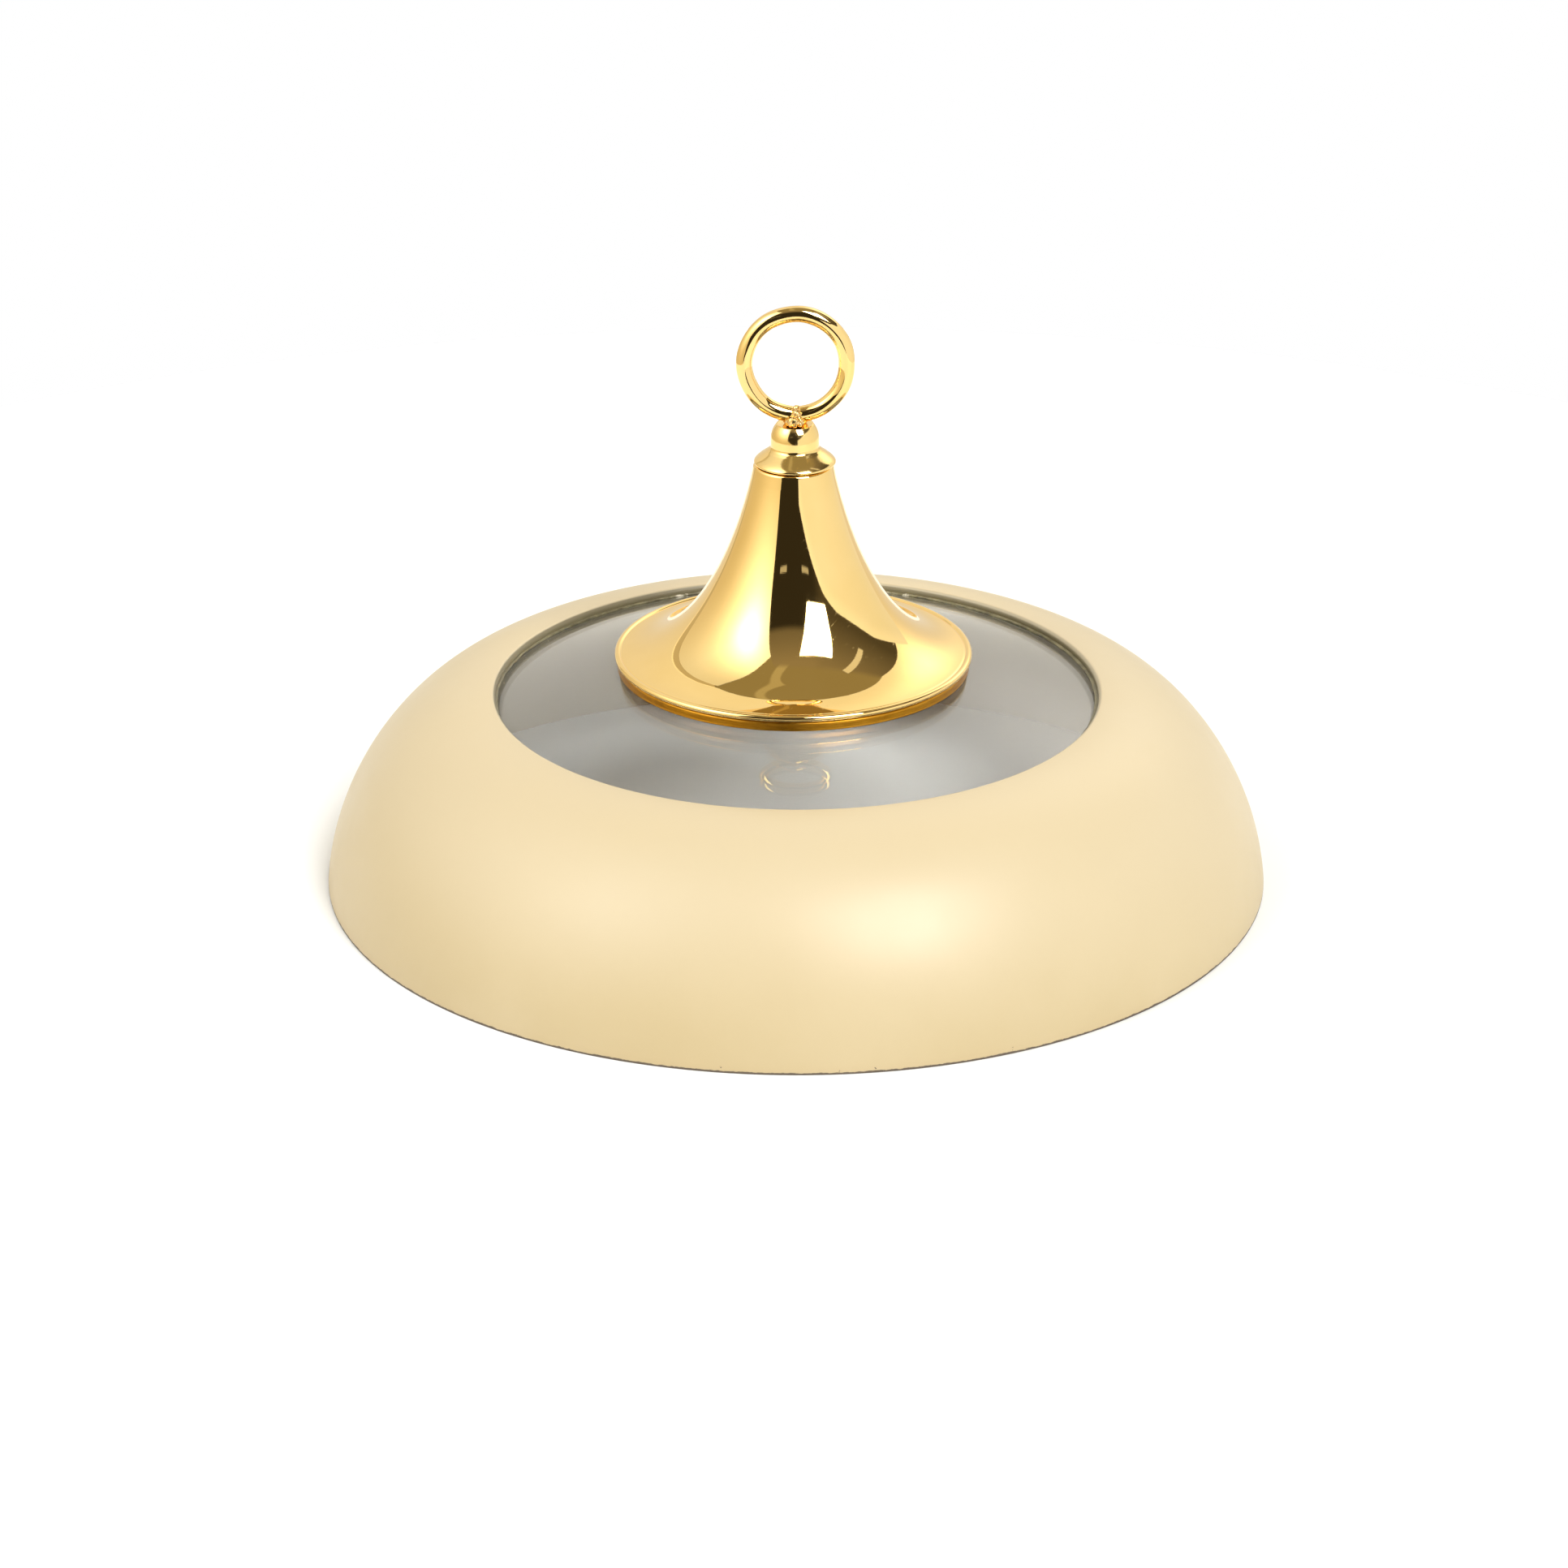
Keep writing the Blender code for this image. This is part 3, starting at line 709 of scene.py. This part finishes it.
def make_cap(material):
    """Turned cap: a flat seat, a domed button, a hollow neck line and a sloping flange."""
    button = CAP.radius - 5.2
    button_height = 4.8
    seat = math.sqrt(button ** 2 - button_height ** 2)
    start = math.degrees(math.acos(seat / button))
    line = [(0.0, CAP.top), (seat * 0.5, CAP.top), (seat - 0.6, CAP.top - 0.02)]
    line += arc((0.0, CAP.top - button_height), button, start + 1.5, 0, 26)
    line += bezier((button, CAP.foot + 6.0), (button - 0.05, CAP.foot + 5.2),
                   (button + 0.1, CAP.foot + 4.9), (button + 0.9, CAP.foot + 4.25), 10)
    line += bezier((button + 1.1, CAP.foot + 4.05), CAP.low(2.6, 2.9), CAP.low(1.1, 1.9),
                   CAP.low(0.45, 1.15), 14)
    line += bezier(line[-1], CAP.low(0.1, 0.8), CAP.low(0.0, 0.6), CAP.low(0.0, 0.4), 6)[1:]
    line += bezier(line[-1], CAP.low(0.0, 0.1), CAP.low(0.15, 0.0), CAP.low(0.45, 0.0), 6)[1:]
    line += [CAP.low(1.0, 0.0), (ROD_BORE + 0.4, CAP.foot), (ROD_BORE, CAP.foot + 0.3),
             (ROD_BORE, ROD.top + 0.2), (ROD_BORE - 0.1, ROD.top + 0.3), (0.0, ROD.top + 0.3)]
    cap = lathe("cap_button", line, MIDDLE)
    return finish_piece(cap, "top_cap", material, SIDE_PLAY["cap"])


def make_ring(material):
    """Bent wire: a little taller than wide, not quite even, with its ends drawn in at the bottom."""
    half_width = RING.radius - WIRE_RADIUS
    half_height = (RING.top - RING.foot) / 2 - WIRE_RADIUS
    middle = (RING.top + RING.foot) / 2
    ends = math.radians(4.0)
    steps = 220
    sides = 40
    thickness = WIRE_RADIUS - 0.02
    centres = []
    for i in range(steps + 1):
        angle = ends + (2 * math.pi - 2 * ends) * i / steps
        bend = 1 + 0.006 * math.sin(3 * angle + 0.8) + 0.004 * math.sin(7 * angle)
        x = half_width * math.sin(angle) * bend
        y = 0.12 * math.sin(2 * angle + 0.5)
        z = middle - half_height * math.cos(angle) * min(bend, 1.0)
        centres.append(Vector((x, y, z)))
    vertices, faces = [], []
    for i, centre in enumerate(centres):
        along = (centres[min(i + 1, steps)] - centres[max(i - 1, 0)]).normalized()
        across = Vector((0.0, 1.0, 0.0))
        outward = along.cross(across).normalized()
        across = outward.cross(along)
        swell = 1 + 0.010 * math.sin(i * 0.21) - 0.02 * math.exp(-min(i, steps - i) / 6)
        for k in range(sides):
            turn = 2 * math.pi * k / sides
            offset = (across * math.cos(turn) + outward * math.sin(turn)) * thickness * swell
            vertices.append(centre + offset)
    for i in range(steps):
        for k in range(sides):
            m = (k + 1) % sides
            faces.append((i * sides + k, i * sides + m, (i + 1) * sides + m, (i + 1) * sides + k))
    for row, flip in ((0, True), (steps, False)):
        hub = len(vertices)
        vertices.append(centres[row])
        for k in range(sides):
            m = (k + 1) % sides
            pair = (row * sides + m, row * sides + k) if flip else (row * sides + k, row * sides + m)
            faces.append((hub, *pair))
    ring = new_object("finger_ring", vertices, faces)
    return finish_piece(ring, "pull_ring", material, SIDE_PLAY["ring"])


def make_braze(material):
    """Braze run in between the wire ends: a chain of drops, melted into one and then roughened."""
    seat = CAP.top
    drops = [
        (0.0, 0.0, seat + 2.6, 2.9), (-0.6, -3.3, seat + 1.7, 2.0), (0.9, -2.3, seat + 1.5, 1.7),
        (-1.9, -1.9, seat + 1.4, 1.6), (0.3, -1.7, seat + 3.6, 1.6), (-0.3, -2.4, seat + 4.3, 0.9),
        (0.5, 2.8, seat + 1.4, 1.7), (-1.2, 2.2, seat + 1.6, 1.5), (2.6, 0.5, seat + 1.0, 1.2),
        (-2.8, 0.4, seat + 1.0, 1.2), (0.1, 0.2, seat + 4.9, 1.2), (1.4, -3.6, seat + 0.8, 0.8),
    ]
    shape = bmesh.new()
    for x, y, z, radius in drops:
        made = bmesh.ops.create_icosphere(shape, subdivisions=3, radius=radius * MM)
        bmesh.ops.translate(shape, vec=(x * MM, y * MM, z * MM), verts=made["verts"])
    mesh = bpy.data.meshes.new("braze_drops")
    shape.to_mesh(mesh)
    shape.free()
    drops_object = bpy.data.objects.new("braze_drops", mesh)
    bpy.context.scene.collection.objects.link(drops_object)
    melt = drops_object.modifiers.new("melt", "REMESH")
    melt.mode = "VOXEL"
    melt.voxel_size = 0.16 * MM
    ease = drops_object.modifiers.new("ease", "SMOOTH")
    ease.iterations = 5
    bpy.context.view_layer.update()
    graph = bpy.context.evaluated_depsgraph_get()
    melted = bpy.data.meshes.new_from_object(drops_object.evaluated_get(graph))
    bpy.data.objects.remove(drops_object)
    normals = [v.normal.copy() for v in melted.vertices]
    for vertex, normal in zip(melted.vertices, normals):
        bump = noise.fractal(vertex.co / MM * 0.75, 1.0, 2.0, 3)
        vertex.co += normal * bump * 0.28 * MM
        vertex.co.z = max(vertex.co.z, (seat + 0.02) * MM)
    melted.shade_smooth()
    braze = bpy.data.objects.new("braze_lump", melted)
    bpy.context.scene.collection.objects.link(braze)
    return finish_piece(braze, "braze_bead", material, SIDE_PLAY["ring"])


def make_rod(material):
    """Threaded rod with an M6 thread of 1 mm pitch and chamfered ends."""
    pitch = 1.0
    depth = 0.58
    bevel = 0.7
    rows_per_turn = 8
    rows = int((ROD.top - ROD.foot) / pitch * rows_per_turn)
    line = [(0.0, ROD.top)]
    for i in range(rows + 1):
        line.append((ROD.radius, ROD.top + (ROD.foot - ROD.top) * i / rows))
    line.append((0.0, ROD.foot))

    def cut_thread(x, y, z):
        angle = np.arctan2(y, x)
        phase = np.mod(z / pitch - angle / (2 * math.pi), 1.0)
        groove = np.clip(1.15 - 2.6 * np.abs(phase - 0.5), 0, 1)
        end = np.minimum(z - ROD.foot, ROD.top - z)
        chamfer = np.clip(bevel - end, 0, bevel)
        radius = np.hypot(x, y)
        cut = np.maximum(groove * depth, chamfer)
        scale = np.where(radius > 0.5, 1 - cut / ROD.radius, 1.0)
        return x * scale, y * scale, z

    rod = lathe("m6_rod", line, THIN, cut_thread)
    return finish_piece(rod, "threaded_rod", material, SIDE_PLAY["rod"])


def make_collar(material):
    """Turned nylon plug that centres the rod in the neck."""
    nose = 7.0
    corners = [
        (ROD_BORE, COLLAR.top, 0.2), (COLLAR.radius, COLLAR.top, 0.5),
        (COLLAR.radius, COLLAR.top - 6.0, 0.6), (nose, COLLAR.foot + 1.0, 0.6),
        (nose, COLLAR.foot, 0.3), (ROD_BORE, COLLAR.foot, 0.2),
    ]
    collar = lathe("rod_collar", rounded(corners), SMALL)
    return finish_piece(collar, "neck_collar", material, SIDE_PLAY["collar"])


def sleeve(name, size, soft):
    """A washer or bush round the rod, with rounded edges."""
    corners = [
        (ROD_BORE, size.top, soft), (size.radius, size.top, soft),
        (size.radius, size.foot, soft), (ROD_BORE, size.foot, soft),
    ]
    return lathe(name, rounded(corners), SMALL)


def make_spring_washer(material):
    """Split washer: one turn of square wire, its ends a little apart in height and angle."""
    rise = 0.35
    height = SPRING.top - SPRING.foot - rise
    soft = 0.18
    section = rounded([(ROD_BORE, height, soft), (SPRING.radius, height, soft),
                       (SPRING.radius, 0.0, soft), (ROD_BORE, 0.0, soft)])
    steps = 90
    gap = math.radians(13)
    start = math.radians(52) + gap / 2
    vertices, faces = [], []
    for i in range(steps + 1):
        angle = start + (2 * math.pi - gap) * i / steps
        lift = SPRING.foot + rise * i / steps
        vertices += [(r * math.cos(angle), r * math.sin(angle), z + lift) for r, z in section]
    size = len(section)
    for i in range(steps):
        for k in range(size):
            m = (k + 1) % size
            faces.append((i * size + k, (i + 1) * size + k, (i + 1) * size + m, i * size + m))
    faces.append(tuple(range(size)))
    faces.append(tuple(reversed(range(steps * size, (steps + 1) * size))))
    washer = new_object("spring_washer", vertices, faces)
    return finish_piece(washer, "lock_washer", material, SIDE_PLAY["rod"])


def make_cap_nut(material):
    """Domed nut: a hexagon with chamfered corners that runs into a dome below it."""
    flats = 5.0
    corner = flats / math.cos(math.pi / 6)
    dome = 4.75
    hex_foot = NUT.top - 5.0
    centre = NUT.foot + dome
    line = [(ROD_BORE, NUT.top - 0.3), (ROD_BORE + 0.3, NUT.top), (flats - 0.25, NUT.top)]
    line += [(corner, NUT.top - 0.45), (corner, NUT.top - 0.8)]
    line += [(corner, NUT.top - 1.2 - 0.5 * i) for i in range(7)]
    line += [(corner, hex_foot + 0.45), (flats - 0.25, hex_foot), (dome, hex_foot - 0.1)]
    line += [(dome, hex_foot - 0.4), (dome, centre + 0.2)] + arc((0.0, centre), dome, 0, -90, 24)[:-1]
    line += [(0.0, NUT.foot)]
    bore_end = NUT.top - 9.2
    line = [(0.0, bore_end), (ROD_BORE - 0.4, bore_end), (ROD_BORE, bore_end + 0.4)] + line

    def forge_hexagon(x, y, z):
        """Cuts whatever stands outside the six flats back to them."""
        angle = np.mod(np.arctan2(y, x) + math.pi / 6, math.pi / 3) - math.pi / 6
        radius = np.hypot(x, y)
        limit = (flats - 0.02) / np.cos(angle)
        scale = np.where(radius > limit, limit / np.maximum(radius, 1e-6), 1.0)
        return x * scale, y * scale, z

    nut = lathe("domed_nut", line, SMALL * 2, forge_hexagon)
    edges = nut.modifiers.new("flats", "EDGE_SPLIT")
    edges.split_angle = math.radians(24)
    return finish_piece(nut, "cap_nut", material, SIDE_PLAY["rod"])


def make_fastening(rubber, steel, nylon):
    """The stack that clamps the handle to the glass."""
    make_rod(steel)
    make_collar(nylon)
    bush = sleeve("rod_bush", BUSH, 0.25)
    finish_piece(bush, "glass_bush", nylon, SIDE_PLAY["bush"])
    gasket = sleeve("glass_gasket", GASKET, 0.35)
    finish_piece(gasket, "under_gasket", rubber, SIDE_PLAY["rod"])
    washer = sleeve("wide_washer", WASHER, 0.22)
    finish_piece(washer, "under_washer", steel, SIDE_PLAY["rod"])
    make_spring_washer(steel)
    make_cap_nut(steel)


# ---------------------------------------------------------------- studio

class Sky(Nodes):
    """The studio as a sky. Directions are in degrees: azimuth 0 is the camera's side and grows
    towards +X, behind is counted from the far side, and elevation grows upwards."""

    def __init__(self, tree):
        super().__init__(tree)
        self.tree.nodes.clear()
        direction = self.add("ShaderNodeTexCoord").outputs["Generated"]
        x, y, z = self.add("ShaderNodeSeparateXYZ", {"Vector": direction}).outputs
        self.azimuth = self.math("DEGREES", self.math("ARCTAN2", x, self.product(y, -1.0)))
        self.elevation = self.math("DEGREES", self.math("ARCSINE", z))
        self.behind = self.math("DEGREES", self.math("ARCTAN2", self.product(x, -1.0), y))
        self.panels = []

    def over(self, value, limit, soft=0.5):
        """1 where the value is over the limit, with a soft step."""
        return self.ramp(self.less(value, limit), -soft, soft)

    def between(self, value, low, high, soft):
        """1 where the value lies between two limits, with soft steps."""
        up = self.ramp(value, low - soft, low + soft)
        down = self.ramp(value, high + soft, high - soft)
        return self.product(up, down)

    def arched(self, value, centre, top, fall):
        """Height of an arch that is highest at its centre."""
        off = self.less(value, centre)
        return self.less(top, self.product(off, off, fall))

    def glow(self, azimuth, elevation, width, height, peak):
        """A bright spot that fades away from its centre."""
        a = self.math("DIVIDE", self.less(self.azimuth, azimuth), width)
        b = self.math("DIVIDE", self.less(self.elevation, elevation), height)
        power = self.product(self.sum(self.product(a, a), self.product(b, b)), -1.0)
        return self.product(self.math("EXPONENT", power), peak)

    def panel(self, mask, level, warmth=0.0):
        """Adds a light: where it is, how bright, and how much yellower than white."""
        self.panels.append((mask, self.product(mask, level), self.product(mask, level, warmth)))

    def colour(self, red, green, blue):
        return self.add("ShaderNodeCombineColor", {0: red, 1: green, 2: blue}).outputs[0]


def left_panel(sky):
    """A tall arched panel on the left, brightest round a lamp behind it, and its warm seam."""
    far_edge = -136.0
    near_edge = sky.line(sky.elevation, -12.0, 4.0, -15.0, -34.3)
    top = sky.arched(sky.azimuth, -84.0, 68.0, 0.0032)
    shape = sky.product(sky.over(sky.azimuth, far_edge), sky.over(near_edge, sky.azimuth),
                        sky.over(top, sky.elevation))
    cloth = sky.line(sky.elevation, 0.0, 45.0, 0.78, 0.88)
    lamp = sky.sum(sky.glow(-62.0, 42.0, 17.0, 13.0, 2.9), sky.glow(-62.0, 41.0, 38.0, 30.0, 1.65))
    sky.panel(shape, cloth, sky.line(sky.elevation, 0.0, 42.0, 1.0, 0.15))
    sky.panel(shape, lamp)
    seam = sky.between(sky.azimuth, far_edge - 5.5, far_edge, 0.8)
    seam_top = 58.0
    sky.panel(sky.product(seam, sky.over(seam_top, sky.elevation)), 0.62, 0.9)


def back_and_right_panels(sky):
    """A high panel at the back with a lamp in its right part, and a low white one on the right."""
    low_arch = sky.arched(sky.azimuth, 85.0, 33.2, 0.0040)
    low_slope = sky.line(sky.azimuth, 14.0, 54.0, 8.5, 31.5)
    low_top = sky.math("MINIMUM", low_arch, low_slope)
    low = sky.product(sky.between(sky.azimuth, 13.0, 139.0, 0.5), sky.over(low_top, sky.elevation))
    back_top = sky.arched(sky.behind, 0.0, 67.0, 0.0052)
    back = sky.product(sky.between(sky.behind, -53.0, 39.0, 0.5), sky.over(back_top, sky.elevation))
    cloth = sky.line(sky.elevation, 5.0, 45.0, 0.86, 1.02)
    lamp = sky.glow(149.0, 30.0, 20.0, 14.0, 1.35)
    warmth = sky.line(sky.elevation, 5.0, 45.0, 0.45, 0.25)
    sky.panel(sky.product(back, sky.less(1.0, low)), sky.sum(cloth, lamp), warmth)
    paper = sky.line(sky.azimuth, 60.0, 130.0, 1.10, 0.97)
    top_edge = sky.ramp(sky.less(low_top, sky.elevation), 9.0, 0.0, 0.0, 0.12)
    sky.panel(low, sky.sum(paper, top_edge))


def small_lights(sky):
    """The softbox in front on the right, a narrow strip beside it and two small lamps."""
    box = sky.product(
        sky.over(sky.azimuth, sky.line(sky.elevation, 32.8, 60.9, 20.5, 9.5)),
        sky.over(sky.line(sky.elevation, 31.2, 58.0, 47.5, 56.8), sky.azimuth),
        sky.over(sky.elevation, sky.line(sky.azimuth, 20.5, 47.5, 32.8, 31.2)),
        sky.over(sky.line(sky.azimuth, 9.5, 56.8, 60.9, 58.0), sky.elevation),
    )
    sky.panel(box, 15.5)
    strip_left = sky.line(sky.elevation, 43.0, 65.0, 87.0, 80.5)
    strip = sky.product(sky.over(sky.azimuth, strip_left), sky.over(92.5, sky.azimuth),
                        sky.between(sky.elevation, 43.5, 64.0, 0.8))
    sky.panel(strip, 0.85, 0.3)
    half_width = 6.0
    for centre in (-17.5, 20.5):
        across = sky.between(sky.azimuth, centre - half_width, centre + half_width, 1.0)
        sky.panel(sky.product(across, sky.between(sky.elevation, 21.7, 23.6, 0.4)), 0.55, 0.3)


def unlit_studio(sky):
    """What shows between the panels: a warm ceiling with a rib, and the dark side of the camera."""
    rib = sky.product(
        sky.over(sky.arched(sky.azimuth, -85.0, 86.5, 0.0030), sky.elevation, 1.0),
        sky.over(sky.elevation, sky.arched(sky.azimuth, -90.0, 80.0, 0.0029), 1.0),
    )
    ceiling = sky.mix(rib, (0.33, 0.28, 0.165), (0.52, 0.46, 0.30))
    hood = sky.arched(sky.azimuth, 10.0, 70.0, 0.0012)
    front = sky.product(sky.between(sky.azimuth, -34.3, 127.0, 0.5),
                        sky.over(hood, sky.elevation, 3.0))
    near_side = sky.sum(sky.ramp(sky.elevation, 42.0, 47.0, 0.035, 0.20),
                        sky.line(sky.elevation, 47.0, 66.0, 0.0, 0.12))
    far_side = sky.line(sky.elevation, 34.0, 66.0, 0.09, 0.29)
    right_part = sky.ramp(sky.azimuth, 30.0, 50.0)
    gloom = sky.sum(sky.product(near_side, sky.less(1.0, right_part)),
                    sky.product(far_side, right_part))
    dark = sky.colour(gloom, sky.product(gloom, 0.84), sky.product(gloom, 0.58))
    return sky.mix(front, ceiling, dark)


def studio_light():
    """Lights everything with the sky, and shows the camera plain white instead of it."""
    world = bpy.data.worlds.new("studio")
    bpy.context.scene.world = world
    world.use_nodes = True
    sky = Sky(world.node_tree)
    left_panel(sky)
    back_and_right_panels(sky)
    small_lights(sky)
    masks, levels, yellows = zip(*sky.panels)
    level = sky.sum(*levels)
    yellow = sky.sum(*yellows)
    lit = sky.colour(level, sky.less(level, sky.product(yellow, 0.14)),
                     sky.less(level, sky.product(yellow, 0.40)))
    covered = sky.math("MINIMUM", sky.sum(*masks), 1.0)
    colour = sky.mix(covered, unlit_studio(sky), lit)
    light = sky.add("ShaderNodeBackground", {"Color": colour})
    white = sky.add("ShaderNodeBackground", {"Color": (1.0, 1.0, 1.0)})
    camera_ray = sky.add("ShaderNodeLightPath").outputs["Is Camera Ray"]
    either = {0: camera_ray, 1: light.outputs[0], 2: white.outputs[0]}
    chosen = sky.add("ShaderNodeMixShader", either)
    sky.add("ShaderNodeOutputWorld", {"Surface": chosen.outputs[0]})


def make_floor():
    """Plain pale table top, a round sheet that is seen only from above."""
    reach = 0.55
    corners = 128
    turns = [2 * math.pi * i / corners for i in range(corners)]
    rim = [(reach * math.cos(t), reach * math.sin(t), 0.0) for t in turns]
    mesh = bpy.data.meshes.new("table_top")
    mesh.from_pydata(rim, [], [tuple(range(corners))])
    floor = bpy.data.objects.new("table_top", mesh)
    floor.location.z = cad_bounds[0].z
    bpy.context.scene.collection.objects.link(floor)
    table = Finish("table_white", Roughness=0.6, Base_Color=(0.81, 0.82, 0.82))
    clear = table.add("ShaderNodeBsdfTransparent").outputs[0]
    back = table.add("ShaderNodeNewGeometry").outputs["Backfacing"]
    chosen = table.add("ShaderNodeMixShader", {0: back, 1: table.shader.outputs[0], 2: clear})
    table.feed(table.tree.nodes["Material Output"].inputs["Surface"], chosen.outputs[0])
    mesh.materials.append(table.material)


def make_camera():
    """A long lens in front and above, looking 23 degrees down at the cloche's middle."""
    aside = -0.003845
    distance = 1.549215
    height = 0.696072
    tilt = 66.7155
    data = bpy.data.cameras.new("camera")
    data.lens = 121.12
    data.sensor_width = 36.0
    camera = bpy.data.objects.new("camera", data)
    low, high = cad_bounds
    camera.location = ((low.x + high.x) / 2 + aside, (low.y + high.y) / 2 - distance, low.z + height)
    camera.rotation_euler = (math.radians(tilt), 0.0, 0.0)
    bpy.context.scene.collection.objects.link(camera)
    bpy.context.scene.camera = camera


# ---------------------------------------------------------------- the cloche

MIRROR_DULLNESS = 0.03
CAP_DULLNESS = 0.12

gold = polished_gold("polished_gold", MIRROR_DULLNESS)
rubber = black_rubber()
make_shell(cream_paint())
make_glass(clear_glass())
make_bead(silicone_painted_shade())
make_trumpet(gold)
make_cup(brushed_gold_painted_shade())
make_pad(rubber)
make_cap(polished_gold("rubbed_gold", CAP_DULLNESS))
make_ring(gold)
make_braze(brazed_gold())
make_fastening(rubber, zinc_steel(), white_nylon())

make_camera()
make_floor()
studio_light()
bpy.context.scene.view_settings.view_transform = "Standard"
bpy.context.scene.cycles.blur_glossy = 0.0
